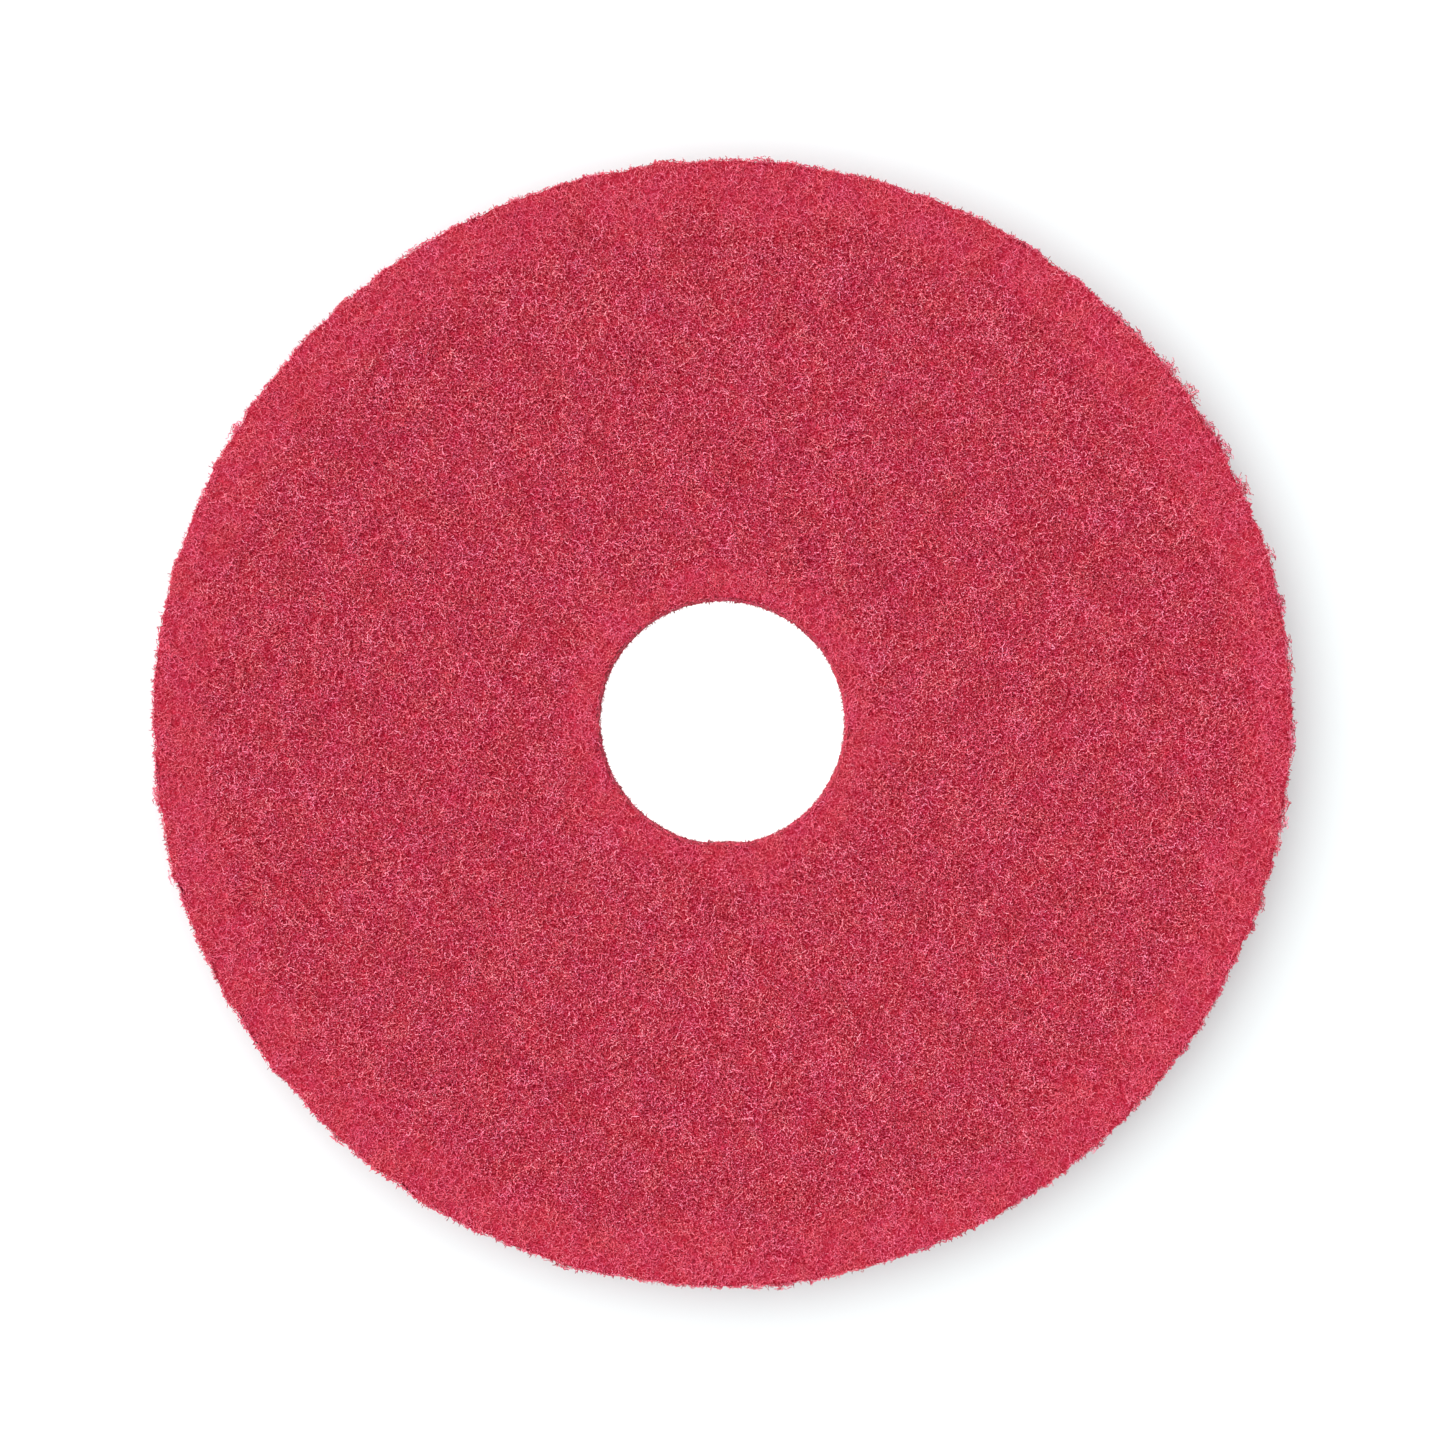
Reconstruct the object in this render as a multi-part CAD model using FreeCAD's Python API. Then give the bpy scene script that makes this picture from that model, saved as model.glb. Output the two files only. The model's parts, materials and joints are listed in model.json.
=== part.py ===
"""Round floor buffing pad: one die-cut disc of resin-bonded non-woven fibre web with a centre hole.

Frame: millimetres, +Z up. The origin is the centre of the lower face, which works on the floor.
The upper face is the one that the machine's pad driver grips.
"""
import FreeCAD, Part
import os

INCH = 25.4

# Driving dimensions
pad_diameter = 15 * INCH
hole_diameter = 3.25 * INCH  # the usual centre hole, sized for the driver's centring boss
thickness = 1 * INCH
edge_rounding = thickness / 12  # the cutting die draws the faces down a little where it cuts

UP = FreeCAD.Vector(0, 0, 1)
ORIGIN = FreeCAD.Vector(0, 0, 0)


def circular_edges(solid):
    """The four circles, two at the rim and two at the hole, where the faces meet the cut walls."""
    return [edge for edge in solid.Edges if isinstance(edge.Curve, Part.Circle)]


def pad_web():
    """The whole pad: a flat ring whose edges are rounded where the die cut it."""
    disc = Part.makeCylinder(pad_diameter / 2, thickness, ORIGIN, UP)
    punched_core = Part.makeCylinder(hole_diameter / 2, thickness, ORIGIN, UP)
    ring = disc.cut(punched_core)
    return ring.makeFillet(edge_rounding, circular_edges(ring))


os.makedirs("parts", exist_ok=True)
pad_web().exportStep("parts/pad_web.step")
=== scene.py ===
"""Looks of a round floor buffing pad: a felted core under a cover of real crimped fibres.

Lengths are in millimetres until a mesh is made, and the frame is the CAD part's own: the pad lies
on z = 0 with its hole's axis on Z. A place on the pad's surface is given by `along`, the distance
round its cross-section, by `angle` round the axis, and by `height` out from the surface.
"""

import json
import math

import bpy
import numpy as np
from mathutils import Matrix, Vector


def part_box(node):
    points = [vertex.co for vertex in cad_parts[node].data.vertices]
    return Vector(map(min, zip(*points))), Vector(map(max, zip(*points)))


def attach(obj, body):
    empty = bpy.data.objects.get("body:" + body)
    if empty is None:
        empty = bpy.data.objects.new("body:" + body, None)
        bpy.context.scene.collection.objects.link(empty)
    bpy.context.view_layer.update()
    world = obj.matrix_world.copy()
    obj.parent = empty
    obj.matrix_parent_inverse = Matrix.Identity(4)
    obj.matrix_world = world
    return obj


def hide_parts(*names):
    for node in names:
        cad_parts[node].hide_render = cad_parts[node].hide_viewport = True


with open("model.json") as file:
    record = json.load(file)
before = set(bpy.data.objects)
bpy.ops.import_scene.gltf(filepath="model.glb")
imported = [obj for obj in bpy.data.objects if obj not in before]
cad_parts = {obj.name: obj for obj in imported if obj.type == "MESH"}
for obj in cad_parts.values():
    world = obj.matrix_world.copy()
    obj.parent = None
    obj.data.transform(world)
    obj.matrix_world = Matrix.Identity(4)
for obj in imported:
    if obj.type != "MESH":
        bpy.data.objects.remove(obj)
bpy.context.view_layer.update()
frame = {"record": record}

MM = 0.001
TURN = 2 * math.pi
QUARTER_TURN = math.pi / 2
PAD = "pad_web"

# The pad's size, from the frame
pad_low, pad_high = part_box(PAD)
RIM_RADIUS = (pad_high.x - pad_low.x) / 2 / MM
THICKNESS = (pad_high.z - pad_low.z) / MM
MOUNTS = {mount["name"]: mount for mount in frame["record"]["mounts"]}
HOLE_RADIUS = MOUNTS["centre_hole"]["dims"]["r_mm"]
HOLE_WALL = MOUNTS["centre_hole"]["dims"]["length_mm"]
ENVELOPE_ROUNDING = (THICKNESS - HOLE_WALL) / 2
ROUNDING = 0.45 * ENVELOPE_ROUNDING  # the web itself is cut sharper than its envelope
CUT_WALL = THICKNESS - 2 * ROUNDING

# The cut outlines are not true circles. Each lobe is how many there are round the outline, their
# size as a share of the radius, and their shift round the axis
RIM_LOBES = ((2, 0.0055, 0.27), (3, 0.0019, 2.0))
HOLE_LOBES = ((2, 0.0045, -1.0), (3, 0.003, 1.9))
HOLE_FLAT = 0.979  # how far the flat at the hole's front is from the axis, as a share of its radius

# Rough shapes are sums of these: wavelength, height and seed
RIM_RAGGEDNESS = ((22, 0.35, 5), (8, 0.2, 6), (1.7, 0.25, 7))
CORE_LUMPS = ((16, 0.16, 31), (6, 0.07, 32))

# Cutting pressed the web smooth in bands beside the rim and the hole, which fade out at their edge
RIM_BAND, RIM_FADE = 26, 16
HOLE_BAND, HOLE_FADE = 19, 14
CALMING = 0.5  # how much the light and dark of the web is evened out there
CALM_SHADE = 0.61

# How the web is built up
CORE_DEPTH = 1.2  # the felted core lies this far under the outermost fibres
FIBRE_RADIUS = 0.15
FIBRE_STEP = 0.36  # length of one straight piece of a fibre
FIBRE_POINTS = 14  # points along a fibre of the cover
FIBRE_SIDES = 3
TRIANGLES_IN_A_PIECE = 199_000  # the library takes 200,000

# Swings of the fibres: the shortest and the longest wavelength, and the strength
CRIMP = ((1.2, 2.2, 2.0), (3.0, 5.5, 0.8))
WEAVE = ((3.0, 5.0, 0.22), (6.0, 11.0, 0.2))


def smooth(t):
    """0 to 1 with no sudden start or stop."""
    t = np.clip(t, 0, 1)
    return t * t * (3 - 2 * t)


# ---------------------------------------------------------------- the surface of the pad


def cross_section():
    """The stretches of the pad's outline, from the top face beside the hole, out over the rim, back
    under the pad and up the hole. Each is a straight or a quarter turn: its name, its length, where
    it starts or the centre it turns about, the angle of its outward normal at its start, and how
    far the normal turns along it."""
    arc = QUARTER_TURN * ROUNDING
    face = RIM_RADIUS - HOLE_RADIUS - 2 * ROUNDING
    inner = HOLE_RADIUS + ROUNDING
    outer = RIM_RADIUS - ROUNDING
    top = THICKNESS - ROUNDING
    up = QUARTER_TURN
    out = 0.0
    down = -QUARTER_TURN
    inward = -2 * QUARTER_TURN
    straight = 0.0
    corner = -QUARTER_TURN
    return [
        ("top", face, (inner, THICKNESS), up, straight),
        ("rim_upper", arc, (outer, top), up, corner),
        ("rim", CUT_WALL, (RIM_RADIUS, top), out, straight),
        ("rim_lower", arc, (outer, ROUNDING), out, corner),
        ("under", face, (outer, 0.0), down, straight),
        ("hole_lower", arc, (inner, ROUNDING), down, corner),
        ("hole", CUT_WALL, (HOLE_RADIUS, ROUNDING), inward, straight),
        ("hole_upper", arc, (inner, top), inward, corner),
    ]


SECTION = cross_section()
LENGTH_OF = {name: length for name, length, *_ in SECTION}
SECTION_LENGTH = sum(LENGTH_OF.values())
START_OF = dict(zip(LENGTH_OF, np.cumsum([0.0, *LENGTH_OF.values()])))
TOP = ("top",)
RIM = ("rim_upper", "rim", "rim_lower")
UNDER = ("under",)
HOLE = ("hole_lower", "hole", "hole_upper")


def section_point(along):
    """(r, z, normal's r, normal's z) of the cross-section at distances `along` it."""
    along = np.mod(along, SECTION_LENGTH)
    r, z, turn = (np.zeros_like(along) for _ in range(3))
    for name, length, (r0, z0), normal, bend in SECTION:
        travelled = along - START_OF[name]
        here = (travelled >= 0) & (travelled <= length)
        t = travelled[here]
        turn[here] = normal + bend * t / length
        if bend:
            r[here] = r0 + ROUNDING * np.cos(turn[here])
            z[here] = z0 + ROUNDING * np.sin(turn[here])
        else:
            r[here] = r0 + t * math.sin(normal)
            z[here] = z0 - t * math.cos(normal)
    return r, z, np.cos(turn), np.sin(turn)


def band_noise(points, wavelength, seed):
    """Soft clouds about `wavelength` across, mostly from -1 to 1, over an array of points."""
    waves = 28
    rng = np.random.default_rng(seed)
    directions = rng.normal(size=(waves, points.shape[-1]))
    directions /= np.linalg.norm(directions, axis=1, keepdims=True)
    numbers = directions * (TURN / wavelength * rng.uniform(0.7, 1.4, (waves, 1)))
    shifts = rng.uniform(0, TURN, waves)
    total = np.zeros(points.shape[:-1])
    for number, shift in zip(numbers, shifts):
        total += np.cos(points @ number + shift)
    return total / math.sqrt(waves)


def rough(points, bands):
    """A rough height over an array of points, as a sum of clouds of different sizes."""
    return sum(height * band_noise(points, wavelength, seed) for wavelength, height, seed in bands)


def lobed(angle, lobes):
    """How far a closed curve with these lobes is from the axis, where a circle is at 1."""
    distance = 1
    for count, size, shift in lobes:
        distance = distance + size * np.cos(count * angle - shift)
    return distance


def outline(angle, r):
    """How much the cut outline leaves the true circle, as a factor: a slightly oval, ragged rim,
    and a hole that is pulled out of round and has a short flat at its front."""
    least = 0.2  # keeps the flat clear of the sides and the back of the hole
    ring = RIM_RADIUS * np.stack([np.cos(angle), np.sin(angle)], -1)
    rim = lobed(angle, RIM_LOBES) + rough(ring, RIM_RAGGEDNESS) / RIM_RADIUS
    towards_front = np.maximum(-np.sin(angle), least)
    hole = np.minimum(lobed(angle, HOLE_LOBES), HOLE_FLAT / towards_front)
    share = smooth((r - HOLE_RADIUS) / (RIM_RADIUS - HOLE_RADIUS))
    return hole * (1 - share) + rim * share


def place(along, angle, height):
    """Points in millimetres for places on the pad's surface, and the outward normals there."""
    r, z, out_r, out_z = section_point(along)
    reach = (r + height * out_r) * outline(angle, r)
    points = np.stack([reach * np.cos(angle), reach * np.sin(angle), z + height * out_z], -1)
    normals = np.stack([out_r * np.cos(angle), out_r * np.sin(angle), out_z], -1)
    return points, normals


def calm(r, points):
    """1 in the bands beside the rim and the hole, where cutting has pressed the web smooth, and 0
    on the open face between them."""
    unevenness = 4
    edge = unevenness * band_noise(points[..., :2], wavelength=40, seed=21)
    near_rim = smooth((r - (RIM_RADIUS - RIM_BAND + edge)) / RIM_FADE)
    near_hole = smooth(((HOLE_RADIUS + HOLE_BAND + edge) - r) / HOLE_FADE)
    return np.maximum(near_rim, near_hole)


# ---------------------------------------------------------------- materials

# The dye's colours from darkest to palest. Besides the web's own random tone, the dark end stands
# in for painted shade in the pits and deep in the web, and the pale end for painted light on the
# top fibres.
DARK_RED = (0.24, 0.002, 0.013)
PIT_RED = (0.37, 0.007, 0.025)
DEEP_RED = (0.49, 0.022, 0.051)
PAD_RED = (0.61, 0.055, 0.108)
PINK = (0.74, 0.129, 0.213)
PALE_PINK = (0.85, 0.28, 0.38)
ORANGE_TINT = (1.0, 1.05, 0.89)
PINK_TINT = (1.0, 0.96, 1.07)


def ramp(tree, factor, stops):
    """A colour ramp through (position, colour) stops."""
    node = tree.nodes.new("ShaderNodeValToRGB")
    elements = node.color_ramp.elements
    while len(elements) < len(stops):
        elements.new(0.5)
    for element, (position, colour) in zip(elements, stops):
        element.position = position
        element.color = (*colour, 1)
    tree.links.new(factor, node.inputs["Fac"])
    return node.outputs["Color"]


def maths(tree, operation, *values):
    """A Math node over sockets or plain numbers."""
    node = tree.nodes.new("ShaderNodeMath")
    node.operation = operation
    for socket, value in zip(node.inputs, values):
        if isinstance(value, (int, float)):
            socket.default_value = value
        else:
            tree.links.new(value, socket)
    return node.outputs[0]


def noise(tree, vector, size, detail, distortion=0.0):
    """A noise texture with features about `size` millimetres across."""
    node = tree.nodes.new("ShaderNodeTexNoise")
    node.inputs["Scale"].default_value = 1 / (size * MM)
    node.inputs["Detail"].default_value = detail
    node.inputs["Distortion"].default_value = distortion
    tree.links.new(vector, node.inputs["Vector"])
    return node.outputs["Fac"]


def kept_value(tree, name):
    """The value that a mesh keeps for each of its points under a name."""
    node = tree.nodes.new("ShaderNodeAttribute")
    node.attribute_name = name
    return node.outputs["Fac"]


def new_material(name):
    """A material with its node tree, its shader, and the place on the object that is shaded."""
    material = bpy.data.materials.new(name)
    material.use_nodes = True
    tree = material.node_tree
    shader = tree.nodes["Principled BSDF"]
    coordinates = tree.nodes.new("ShaderNodeTexCoord").outputs["Object"]
    return material, tree, shader, coordinates


def uneven_dye(tree, coordinates, colour):
    """The colour, a little more orange in some places and a little more pink in others."""
    patches = noise(tree, coordinates, size=9, detail=3)
    tint = ramp(tree, patches, [(0.35, ORANGE_TINT), (0.65, PINK_TINT)])
    tinted = tree.nodes.new("ShaderNodeVectorMath")
    tinted.operation = "MULTIPLY"
    tree.links.new(colour, tinted.inputs[0])
    tree.links.new(tint, tinted.inputs[1])
    return tinted.outputs[0]


def fine_grain(tree, coordinates):
    """The fine spots of thick and thin coat, and the same about a middle of 0."""
    grain = noise(tree, coordinates, size=0.55, detail=1)
    return grain, maths(tree, "SUBTRACT", grain, 0.5)


def fibre_material():
    """Dyed and resin-coated polyester: the shade, from dark to pale, is partly the fibre's own
    random tone and partly painted light and shade, paler on top of the cover and where the fibre
    rises and darker deep down; it wanders along the fibre where the coat is thick or thin."""
    coat_contrast = 3.3
    material, tree, shader, coordinates = new_material("pad_fibre")
    _, coat = fine_grain(tree, coordinates)
    coat = maths(tree, "MULTIPLY", coat, kept_value(tree, "unevenness"))
    varied = maths(tree, "MULTIPLY_ADD", coat, coat_contrast, kept_value(tree, "shade"))
    stops = [
        (0.0, DARK_RED),
        (0.16, PIT_RED),
        (0.32, DEEP_RED),
        (0.54, PAD_RED),
        (0.78, PINK),
        (1.0, PALE_PINK),
    ]
    dyed = uneven_dye(tree, coordinates, ramp(tree, varied, stops))
    tree.links.new(dyed, shader.inputs["Base Color"])
    shader.inputs["Roughness"].default_value = 0.48
    shader.inputs["Specular IOR Level"].default_value = 0.25
    return material


def threads(tree, coordinates, size, seed):
    """Thin curly lines, like matted fibres, 1 on a line and less between the lines."""
    sharpness = 12.0
    shifted = tree.nodes.new("ShaderNodeVectorMath")
    shifted.operation = "ADD"
    shifted.inputs[1].default_value = (seed * 0.37, seed * 0.61, seed * 0.13)
    tree.links.new(coordinates, shifted.inputs[0])
    field = noise(tree, shifted.outputs[0], size, detail=1.5, distortion=1.2)
    off_line = maths(tree, "ABSOLUTE", maths(tree, "SUBTRACT", field, 0.5))
    return maths(tree, "MULTIPLY_ADD", off_line, -sharpness, 1.0)


def core_shade(tree, coordinates, lines, grain_about_0):
    """From dark to pale: threads, clouds and grain, which are weaker where the web is calm. The
    threads and the grain also raise the bump, so the colour is paler where it stands higher and
    darker in the hollows: painted shade, on top of random tone.
    """
    line_contrast = 0.48
    cloud_contrast = 0.25
    grain_contrast = 2.4
    usual_cloud = 0.25
    usual_sum = 0.5
    core_calm_shade = 0.6
    cloud = maths(tree, "SUBTRACT", noise(tree, coordinates, size=12, detail=3), usual_cloud)
    # painted shade: the colour follows the bump, darker in the hollows between the threads and the
    # grain
    shade = maths(tree, "MULTIPLY", lines, line_contrast)
    shade = maths(tree, "MULTIPLY_ADD", cloud, cloud_contrast, shade)
    shade = maths(tree, "MULTIPLY_ADD", grain_about_0, grain_contrast, shade)
    shade = maths(tree, "SUBTRACT", shade, usual_sum)
    return maths(tree, "MULTIPLY_ADD", shade, kept_value(tree, "unevenness"), core_calm_shade)


def core_material():
    """The felted inside of the web: matted threads over pits, in soft clouds; the pits are darkened
    in the colour as painted shade.
    """
    bump_height = 0.25
    material, tree, shader, coordinates = new_material("pad_felt")
    lines = 0.0
    for size, seed in ((0.8, 1), (0.65, 2), (1.1, 3)):
        lines = maths(tree, "MAXIMUM", threads(tree, coordinates, size, seed), lines)
    grain, grain_about_0 = fine_grain(tree, coordinates)
    shade = core_shade(tree, coordinates, lines, grain_about_0)
    stops = [(0.1, DARK_RED), (0.3, PIT_RED), (0.5, DEEP_RED), (0.75, PAD_RED), (1.0, PINK)]
    dyed = uneven_dye(tree, coordinates, ramp(tree, shade, stops))
    tree.links.new(dyed, shader.inputs["Base Color"])
    shader.inputs["Specular IOR Level"].default_value = 0.05
    roughness = maths(tree, "MULTIPLY_ADD", grain, 0.3, 0.5)
    tree.links.new(roughness, shader.inputs["Roughness"])
    bump = tree.nodes.new("ShaderNodeBump")
    bump.inputs["Distance"].default_value = bump_height * MM
    bump.inputs["Strength"].default_value = 1.0
    tree.links.new(maths(tree, "MULTIPLY_ADD", grain, 0.5, lines), bump.inputs["Height"])
    tree.links.new(bump.outputs["Normal"], shader.inputs["Normal"])
    return material


# ---------------------------------------------------------------- meshes


def mesh_object(name, points, quads, material):
    """A smooth mesh object from points in millimetres and rows of four corners."""
    mesh = bpy.data.meshes.new(name)
    mesh.vertices.add(len(points))
    mesh.vertices.foreach_set("co", (points * MM).astype(np.float32).ravel())
    mesh.loops.add(quads.size)
    mesh.loops.foreach_set("vertex_index", quads.astype(np.int32).ravel())
    mesh.polygons.add(len(quads))
    mesh.polygons.foreach_set("loop_start", np.arange(0, quads.size, 4, dtype=np.int32))
    mesh.update(calc_edges=True)
    mesh.shade_smooth()
    mesh.materials.append(material)
    piece = bpy.data.objects.new(name, mesh)
    bpy.context.scene.collection.objects.link(piece)
    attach(piece, "root")
    return piece


def keep(mesh, name, values):
    """Stores a value for each point of the mesh, for its material to read."""
    attribute = mesh.attributes.new(name, "FLOAT", "POINT")
    attribute.data.foreach_set("value", values.astype(np.float32).ravel())


def grid_quads(rows, columns, wrap_rows, wrap_columns):
    """Corners of the quads of a grid whose points are numbered row by row."""
    row = np.arange(rows if wrap_rows else rows - 1)[:, None]
    column = np.arange(columns if wrap_columns else columns - 1)[None, :]
    next_row = (row + 1) % rows
    next_column = (column + 1) % columns
    corners = [
        row * columns + column,
        row * columns + next_column,
        next_row * columns + next_column,
        next_row * columns + column,
    ]
    return np.stack(corners, -1).reshape(-1, 4)


def core_rings():
    """Places round the cross-section for the core's rings, closer together on the roundings."""
    rings_on = {
        "top": 74,
        "rim_upper": 3,
        "rim": 9,
        "rim_lower": 3,
        "under": 66,
        "hole_lower": 3,
        "hole": 8,
        "hole_upper": 3,
    }
    stretches = [
        START_OF[name] + LENGTH_OF[name] * np.arange(count) / count
        for name, count in rings_on.items()
    ]
    return np.concatenate(stretches)


def felted_core():
    """The closed ring under the fibres, with the lumps and hollows of a felted web. It stands a
    little higher where the web is calm, as the fibres over it are pressed flat there."""
    around = 580
    flattening = 0.6
    calm_rise = 0.3
    highest = -0.35
    along, angle = np.meshgrid(core_rings(), TURN * np.arange(around) / around, indexing="ij")
    surface, _ = place(along, angle, np.zeros_like(along))
    quiet = calm(section_point(along)[0], surface)
    lumps = rough(surface, CORE_LUMPS) * (1 - flattening * quiet)
    height = -CORE_DEPTH + lumps + calm_rise * quiet
    points, _ = place(along, angle, np.minimum(height, highest))
    quads = grid_quads(*along.shape, True, True)[:, ::-1]
    core = mesh_object("web_core", points.reshape(-1, 3), quads, core_material())
    keep(core.data, "unevenness", 1 - CALMING * quiet)
    return core


def swings(rng, count, steps, waves):
    """A smooth random swing along each of `count` fibres, from the shortest and longest wavelength
    and the strength of each wave that it is made of."""
    travelled = np.arange(steps) * FIBRE_STEP
    total = np.zeros((count, steps))
    for shortest, longest, strength in waves:
        wavelength = rng.uniform(shortest, longest, (count, 1))
        shift = rng.uniform(0, TURN, (count, 1))
        size = strength * rng.uniform(0.6, 1.4, (count, 1))
        total += size * np.sin(TURN * travelled / wavelength + shift)
    return total


def crimped(rng, start_heading, steps, curl):
    """Headings along fibres that swing from side to side and here and there curl into a loop."""
    count = start_heading.size
    steady = rng.normal(0, 0.3, (count, 1))
    turning = curl * (steady + swings(rng, count, steps, CRIMP))
    return start_heading[:, None] + np.cumsum(turning * FIBRE_STEP, axis=1)


def unit(vectors):
    """The vectors at a length of 1."""
    almost_nothing = 1e-9
    return vectors / (np.linalg.norm(vectors, axis=2, keepdims=True) + almost_nothing)


def tubes(points, normals, radius, closed):
    """Three-sided tubes along rows of points, with tapered ends: vertices and quads. An open one
    has no side towards the pad, where nothing can see it."""
    tip = 0.35
    count, steps, _ = points.shape
    ahead = unit(np.gradient(points, axis=1))
    across = unit(np.cross(ahead, normals))
    up = np.cross(across, ahead)
    taper = np.ones(steps)
    taper[[0, -1]] = tip
    size = (radius[:, None] * taper)[..., None]
    first = -math.pi / 6
    rings = [
        points + size * (math.cos(turn) * across + math.sin(turn) * up)
        for turn in (first + TURN * side / FIBRE_SIDES for side in range(FIBRE_SIDES))
    ]
    vertices = np.stack(rings, axis=2).reshape(-1, 3)
    one = grid_quads(steps, FIBRE_SIDES, False, closed)
    starts = np.arange(count) * steps * FIBRE_SIDES
    quads = (starts[:, None, None] + one[None]).reshape(-1, 4)
    return vertices, quads


def lay_out_for_baking(mesh, count, steps):
    """A flat strip of the map for each fibre, so that a bake keeps every fibre's own shade."""
    rows = 128
    columns = math.ceil(count / rows)
    end_gap, side_gap = 0.04, 0.15
    corner = np.empty(len(mesh.loops), np.int32)
    mesh.loops.foreach_get("vertex_index", corner)
    fibre, place_in_fibre = np.divmod(corner, steps * FIBRE_SIDES)
    step, side = np.divmod(place_in_fibre, FIBRE_SIDES)
    row, column = np.divmod(fibre, columns)
    u = (column + end_gap + (1 - 2 * end_gap) * step / (steps - 1)) / columns
    v = (row + side_gap + (1 - 2 * side_gap) * side / (FIBRE_SIDES - 1)) / rows
    layer = mesh.uv_layers.new(name="OFBake")
    layer.data.foreach_set("uv", np.stack([u, v], -1).astype(np.float32).ravel())


def fibre_piece(name, points, normals, radius, shade, unevenness, material, closed=True):
    """One mesh of many fibres. It keeps the shade along each fibre, and how uneven its coat is."""
    count, steps, _ = points.shape
    vertices, quads = tubes(points, normals, radius, closed)
    piece = mesh_object(name, vertices, quads, material)
    keep(piece.data, "shade", np.repeat(shade.ravel(), FIBRE_SIDES))
    keep(piece.data, "unevenness", np.repeat(unevenness, steps * FIBRE_SIDES))
    lay_out_for_baking(piece.data, count, steps)


def spread(rng, stretches, count):
    """Random places, even over the area of neighbouring stretches, in order round the pad."""
    low = START_OF[stretches[0]]
    high = START_OF[stretches[-1]] + LENGTH_OF[stretches[-1]]
    tried = rng.uniform(low, high, 4 * count)
    r = section_point(tried)[0]
    along = tried[rng.uniform(0, RIM_RADIUS, tried.size) < r][:count]
    return along, np.sort(rng.uniform(0, TURN, along.size))


def winding(rng, along0, angle0, lean, quiet):
    """Paths of crimped fibres over the surface, each about its own place."""
    calm_curl = 0.2  # a pressed fibre curls this much more, as it cannot rise
    start = rng.uniform(0, TURN, along0.size)
    start = start - 0.5 * lean * np.sin(2 * (start - QUARTER_TURN))
    heading = crimped(rng, start, FIBRE_POINTS, 1.0 + calm_curl * quiet)
    forward = np.cumsum(np.cos(heading) * FIBRE_STEP, axis=1)
    sideways = np.cumsum(np.sin(heading) * FIBRE_STEP, axis=1)
    r0 = section_point(along0)[0][:, None]
    along = along0[:, None] + forward - forward.mean(axis=1, keepdims=True)
    angle = angle0[:, None] + (sideways - sideways.mean(axis=1, keepdims=True)) / r0
    return along, angle


def woven(rng, quiet):
    """How deep each fibre lies, its height along its length as it rises and dips between the
    others, and its layer, from 0 on the core to 1 on top."""
    deepest = -CORE_DEPTH - 0.15
    layers = CORE_DEPTH + 0.05
    highest = 0.5
    pressed_together = 0.35
    pressed_flat = 0.45
    layer = rng.beta(1.8, 1.3, quiet.shape)
    depth = (deepest + layers * layer) * (1 - pressed_together * quiet)
    rise = swings(rng, len(quiet), FIBRE_POINTS, WEAVE)
    height = np.minimum(depth + rise * (1 - pressed_flat * quiet), highest)
    return depth, height, layer


def woven_shade(rng, usual, clouds, depth, height, layer, quiet):
    """The shade along each fibre of the cover, from 0 for the darkest to 1 for the palest: its own
    random tone and soft clouds, plus painted light and shade, paler on top and where the fibre
    rises and darker deep down and where it dips; evened out where the web is calm."""
    cloud_contrast = 0.045
    fibre_contrast = 0.055
    painted_light_on_top = 0.08
    painted_light_where_risen = 0.11
    evened_out = 0.5
    own = rng.normal(0, fibre_contrast, layer.shape)
    # painted light and shade: fibres high in the cover and stretches that rise are paler, deep ones
    # and dips darker
    shade = usual + painted_light_on_top * layer + own + cloud_contrast * clouds
    shade = shade + painted_light_where_risen * (height - depth)
    return shade + evened_out * quiet * (CALM_SHADE - shade)


def cover(name, stretches, pieces, material, seed, lean=0.0, tone=0.0, closed=False):
    """A cover of woven-together fibres over some stretches of the surface, in pieces round the
    pad. `lean` from 0 to 1 is how strongly the fibres run round the pad, and `tone` is how much
    paler they are than those on the faces: on the rim this is painted light that lifts the shade
    on its rounding, and in the hole a darker painted shade on its wall."""
    usual_shade = 0.347
    off_the_floor = 1.3 * FIBRE_RADIUS
    calm_thinning = 0.15
    rng = np.random.default_rng(seed)
    walls = FIBRE_SIDES if closed else FIBRE_SIDES - 1
    in_piece = TRIANGLES_IN_A_PIECE // (2 * walls * (FIBRE_POINTS - 1))
    along0, angle0 = spread(rng, stretches, pieces * in_piece)
    count = along0.size
    middles, _ = place(along0, angle0, np.zeros(count))
    quiet = calm(section_point(along0)[0], middles)[:, None]
    along, angle = winding(rng, along0, angle0, lean, quiet)
    depth, height, layer = woven(rng, quiet)
    points, normals = place(along, angle, height)
    points[..., 2] = np.maximum(points[..., 2], off_the_floor)
    clouds = band_noise(middles, wavelength=20, seed=seed + 100)[:, None]
    shade = woven_shade(rng, usual_shade + tone, clouds, depth, height, layer, quiet)
    radius = FIBRE_RADIUS * rng.uniform(0.75, 1.2, count) * (1 - calm_thinning * quiet[:, 0])
    unevenness = 1 - CALMING * quiet[:, 0]
    for index in range(pieces):
        some = slice(index * in_piece, (index + 1) * in_piece)
        piece_name = f"{name}_{index + 1:02d}"
        chosen = (points[some], normals[some], radius[some], shade[some], unevenness[some])
        fibre_piece(piece_name, *chosen, material, closed)


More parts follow.
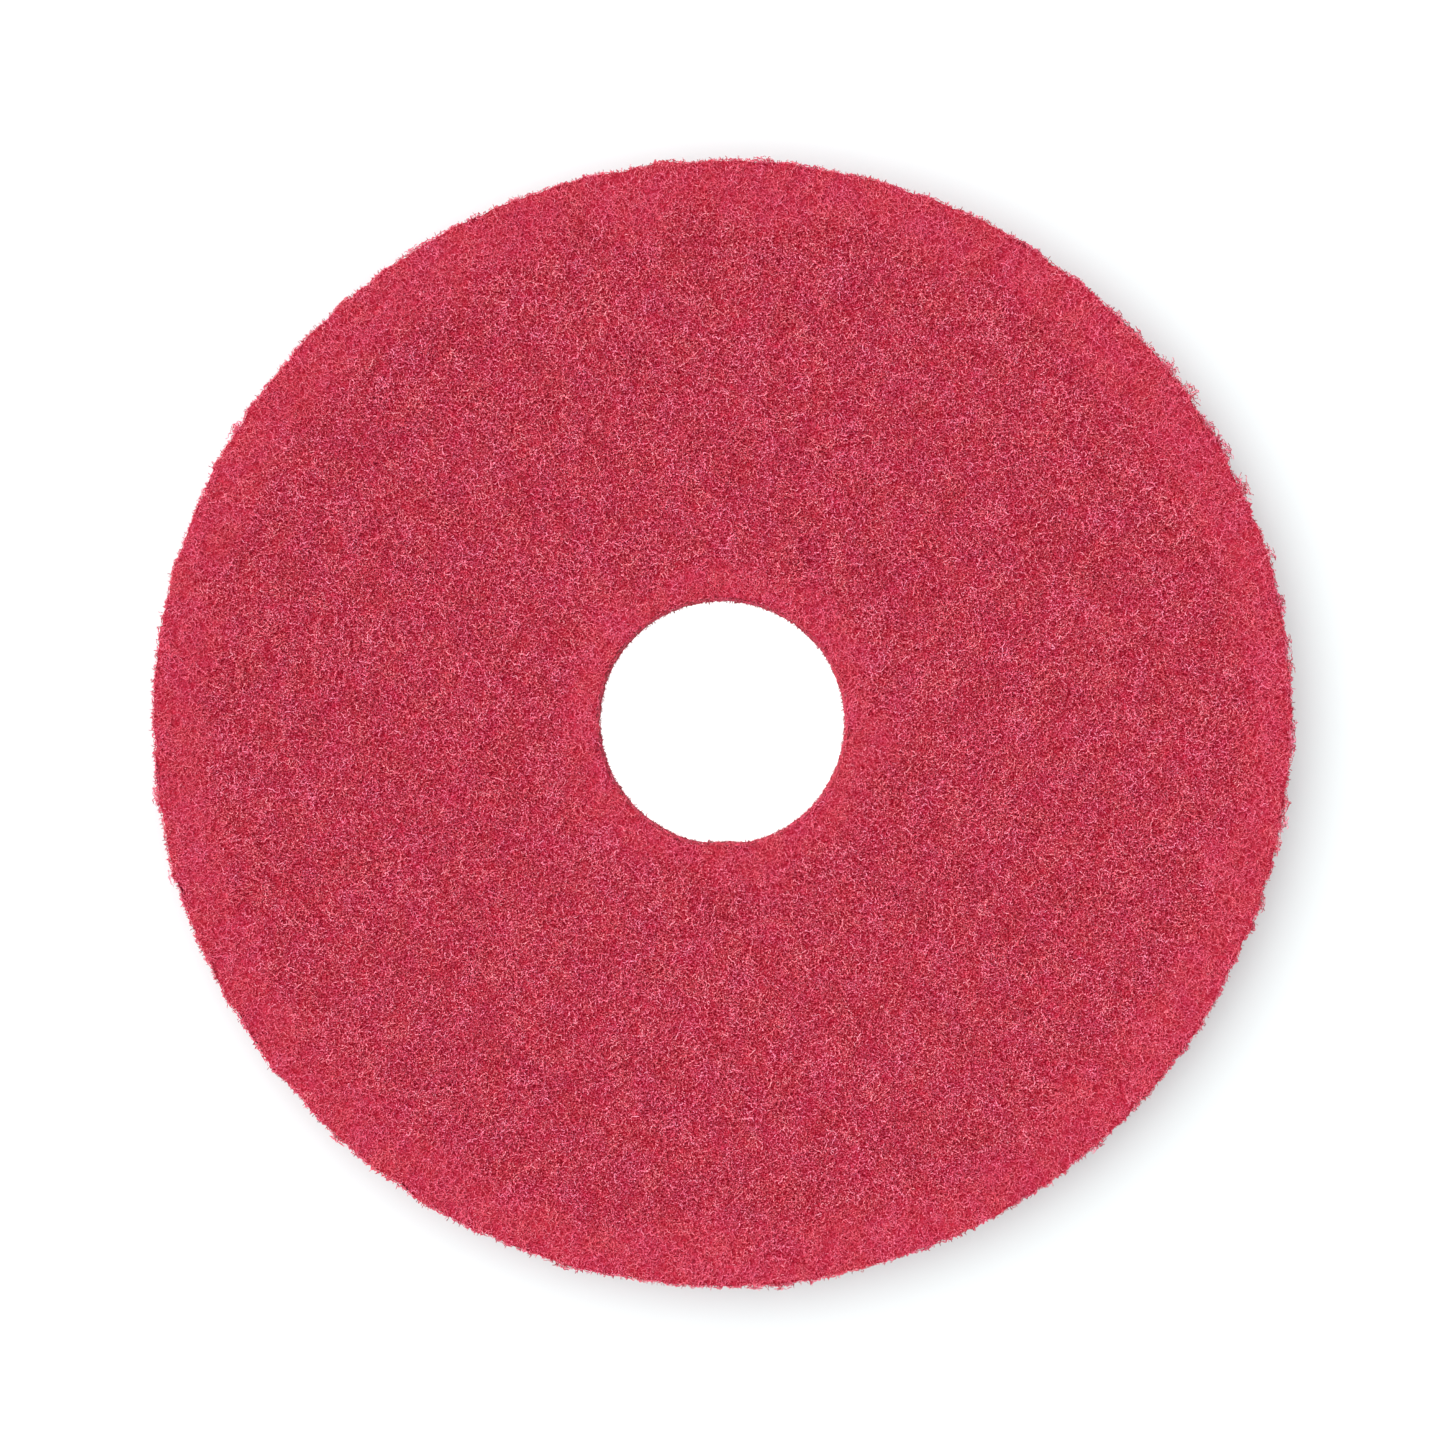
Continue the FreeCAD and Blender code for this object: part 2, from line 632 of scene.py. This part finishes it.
def wander(rng, roots, heading, facing, length, steps):
    """Curly paths that start at `roots`, which are places on the surface. A heading of a quarter
    turn is straight out of the surface, and a `facing` of a quarter turn is round the pad."""
    along0, angle0, height0 = (values[:, None] for values in roots)
    headings = crimped(rng, heading, steps, 0.8)
    step = length[:, None] / steps
    outward = np.cumsum(np.sin(headings) * step, axis=1)
    sideways = np.cumsum(np.cos(headings) * step, axis=1)
    along = along0 + sideways * np.cos(facing[:, None])
    angle = angle0 + sideways * np.sin(facing[:, None]) / section_point(along0)[0]
    return along, angle, height0 + outward


def stray_fibres(name, rng, paths, material, thickness, shade, mixed=0.18):
    """A mesh of loose fibres along the paths, none of them below the floor. `mixed` is how much
    their shades differ."""
    along, angle, height = paths
    points, normals = place(along, angle, np.maximum(height, -CORE_DEPTH))
    count, steps = height.shape
    shades = rng.normal(shade, mixed, (count, 1)) + np.zeros((count, steps))
    radius = thickness * rng.uniform(0.7, 1.2, count)
    points[..., 2] = np.maximum(points[..., 2], radius[:, None])
    fibre_piece(name, points, normals, radius, shades, np.ones(count), material)


def fuzz(name, rng, stretches, material, count, shortest, mean_extra, longest, thickness, shade):
    """Short ends that stand up from some stretches of the surface, most of them barely and a few
    further."""
    root_depth = 0.6
    straightness = 0.75
    along0, angle0 = spread(rng, stretches, count)
    count = along0.size
    reach = np.minimum(shortest + rng.gamma(2.0, mean_extra / 2, count), longest)
    heading = rng.normal(QUARTER_TURN, 0.6, count)
    facing = rng.uniform(0, TURN, count)
    roots = (along0, angle0, np.full(count, -root_depth))
    length = (reach + root_depth) / straightness
    paths = wander(rng, roots, heading, facing, length, steps=7)
    stray_fibres(name, rng, paths, material, thickness, shade)


def frayed_tufts(rng, material):
    """Lace-like tufts of curly fibres where the cut rim has frayed: a row of large ones together on
    the right, and smaller ones here and there."""
    in_row = 5
    row_start = 25.3
    row_spacing = 3.5
    scattered = 14
    in_tuft = 60
    half_width = 4.2
    reach = 3.0
    large = np.radians(row_start + row_spacing * np.arange(in_row) + rng.uniform(-1, 1, in_row))
    middling = np.radians(rng.uniform(-12, 48, scattered))
    small = rng.uniform(0, TURN, scattered)
    sizes = np.array([1.0] * in_row + [0.5] * scattered + [0.3] * scattered)
    size = np.repeat(sizes * rng.uniform(0.75, 1.1, sizes.size), in_tuft)
    count = size.size
    across_tuft = np.clip(rng.normal(0, 0.5, count), -1, 1)
    middle = np.repeat(np.concatenate([large, middling, small]), in_tuft)
    angle0 = middle + across_tuft * (half_width * size) / RIM_RADIUS
    bulge = reach * size * (1 - across_tuft**2)
    height0 = rng.uniform(-0.5, 0.9, count) * bulge
    along0 = START_OF["rim_upper"] + rng.uniform(0, 0.9, count) * LENGTH_OF["rim"]
    heading = rng.uniform(0, TURN, count)
    facing = rng.normal(QUARTER_TURN, 0.3, count)
    length = rng.uniform(2.4, 4.6, count)
    roots = (along0, angle0, height0)
    along, angle, height = wander(rng, roots, heading, facing, length, steps=11)
    paths = (along, angle, np.minimum(height, bulge[:, None] + 0.3))
    stray_fibres("frayed_tufts", rng, paths, material, thickness=0.14, shade=0.6, mixed=0.3)


def loose_ends(material):
    """The fuzz on the rim, in the hole and on top, and the frayed tufts on the rim."""
    rng = np.random.default_rng(71)
    on_rim = dict(shortest=0.2, mean_extra=0.3, longest=1.2, thickness=0.13, shade=0.42)
    # the hole's fuzz is painted dark: painted shade in the hole
    in_hole = dict(shortest=0.25, mean_extra=0.2, longest=0.8, thickness=0.12, shade=0.12)
    on_top = dict(shortest=0.3, mean_extra=0.4, longest=1.4, thickness=0.12, shade=0.5)
    fuzz("rim_fuzz", rng, RIM, material, count=5400, **on_rim)
    frayed_tufts(rng, material)
    fuzz("hole_fuzz", rng, HOLE, material, count=1500, **in_hole)
    fuzz("top_fuzz", rng, TOP, material, count=5400, **on_top)


def build_pad():
    """The core, which takes the place of the CAD pad, and all the fibres on it."""
    core = felted_core()
    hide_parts(PAD)
    fibre = fibre_material()
    cover("top_fibres", TOP, 14, fibre, seed=1)
    cover("pale_strands", TOP, 1, fibre, seed=5, tone=0.34)
    # rim fibres are painted paler: painted light that lifts the shade on the rim's rounding
    cover("rim_fibres", RIM, 3, fibre, seed=2, lean=0.9, tone=0.16, closed=True)
    cover("under_fibres", UNDER, 2, fibre, seed=3)
    # hole fibres are painted darker: painted shade on the hole's wall
    cover("hole_fibres", HOLE, 1, fibre, seed=4, lean=0.9, tone=-0.12, closed=True)
    loose_ends(fibre)


# ---------------------------------------------------------------- the studio


def white_card(name, glow):
    """Pale card with a glow of its own, which is no lamp: painted light that keeps the shadows on
    it pale.
    """
    material = bpy.data.materials.new(name)
    material.use_nodes = True
    shader = material.node_tree.nodes["Principled BSDF"]
    shader.inputs["Base Color"].default_value = (0.585, 0.62, 0.625, 1)
    shader.inputs["Roughness"].default_value = 0.9
    shader.inputs["Specular IOR Level"].default_value = 0.1
    shader.inputs["Emission Color"].default_value = (1, 1, 1, 1)
    shader.inputs["Emission Strength"].default_value = glow
    return material


def round_card(name, radius_m, height_m, glow):
    """A round flat card that belongs to the studio and not to the pad."""
    mesh = bpy.data.meshes.new(name)
    corners = 128
    edge = [
        (radius_m * math.cos(TURN * k / corners), radius_m * math.sin(TURN * k / corners), height_m)
        for k in range(corners)
    ]
    mesh.from_pydata(edge, [], [list(range(corners))])
    mesh.materials.append(white_card(name, glow))
    card = bpy.data.objects.new(name, mesh)
    bpy.context.scene.collection.objects.link(card)


def key_light():
    """A very large soft light, high up on the left and a little behind the pad."""
    from_straight_up = math.radians(41)
    from_the_right = math.radians(158)
    light = bpy.data.lights.new("key", "SUN")
    light.energy = 4.44
    light.angle = math.radians(120)
    lamp = bpy.data.objects.new("key", light)
    lamp.rotation_euler = (0, from_straight_up, from_the_right)
    bpy.context.scene.collection.objects.link(lamp)


def white_surroundings():
    """A studio with white walls, lit a little less from overhead."""
    world = bpy.data.worlds.new("studio")
    world.use_nodes = True
    tree = world.node_tree
    direction = tree.nodes.new("ShaderNodeTexCoord").outputs["Generated"]
    split = tree.nodes.new("ShaderNodeSeparateXYZ")
    tree.links.new(direction, split.inputs[0])
    wall = (1.0, 1.0, 1.0)
    ceiling = (0.82, 0.82, 0.82)
    brightness = ramp(tree, split.outputs["Z"], [(0.2, wall), (0.35, ceiling)])
    tree.links.new(brightness, tree.nodes["Background"].inputs["Color"])
    bpy.context.scene.world = world


def camera_above():
    """A long lens straight above the pad, which takes up four fifths of the picture's width."""
    distance = 1.7
    share_of_width = 0.791
    fringe = 1.2
    width = 2 * (RIM_RADIUS + fringe) * MM / share_of_width
    data = bpy.data.cameras.new("camera")
    data.sensor_width = 36
    data.lens = data.sensor_width * distance / width
    camera = bpy.data.objects.new("camera", data)
    camera.location = (0, 0, THICKNESS * MM + distance)
    bpy.context.scene.collection.objects.link(camera)
    bpy.context.scene.camera = camera


def studio():
    """A white floor, a card under the hole with a strong painted glow that takes the shadow out of
    the hole, the light and the camera.
    """
    tucked_under = 1
    lift = 0.03
    # the floor glows a little: painted light that keeps its shadows pale
    round_card("floor", radius_m=8.0, height_m=0.0, glow=0.08)
    hole_card_radius = (HOLE_RADIUS + tucked_under) * MM
    # painted light: the card under the hole glows so that no shadow shows there
    round_card("floor_in_hole", hole_card_radius, height_m=lift * MM, glow=0.85)
    key_light()
    white_surroundings()
    camera_above()
    settings = bpy.context.scene.view_settings
    settings.view_transform = "Standard"
    settings.look = "None"


build_pad()
studio()
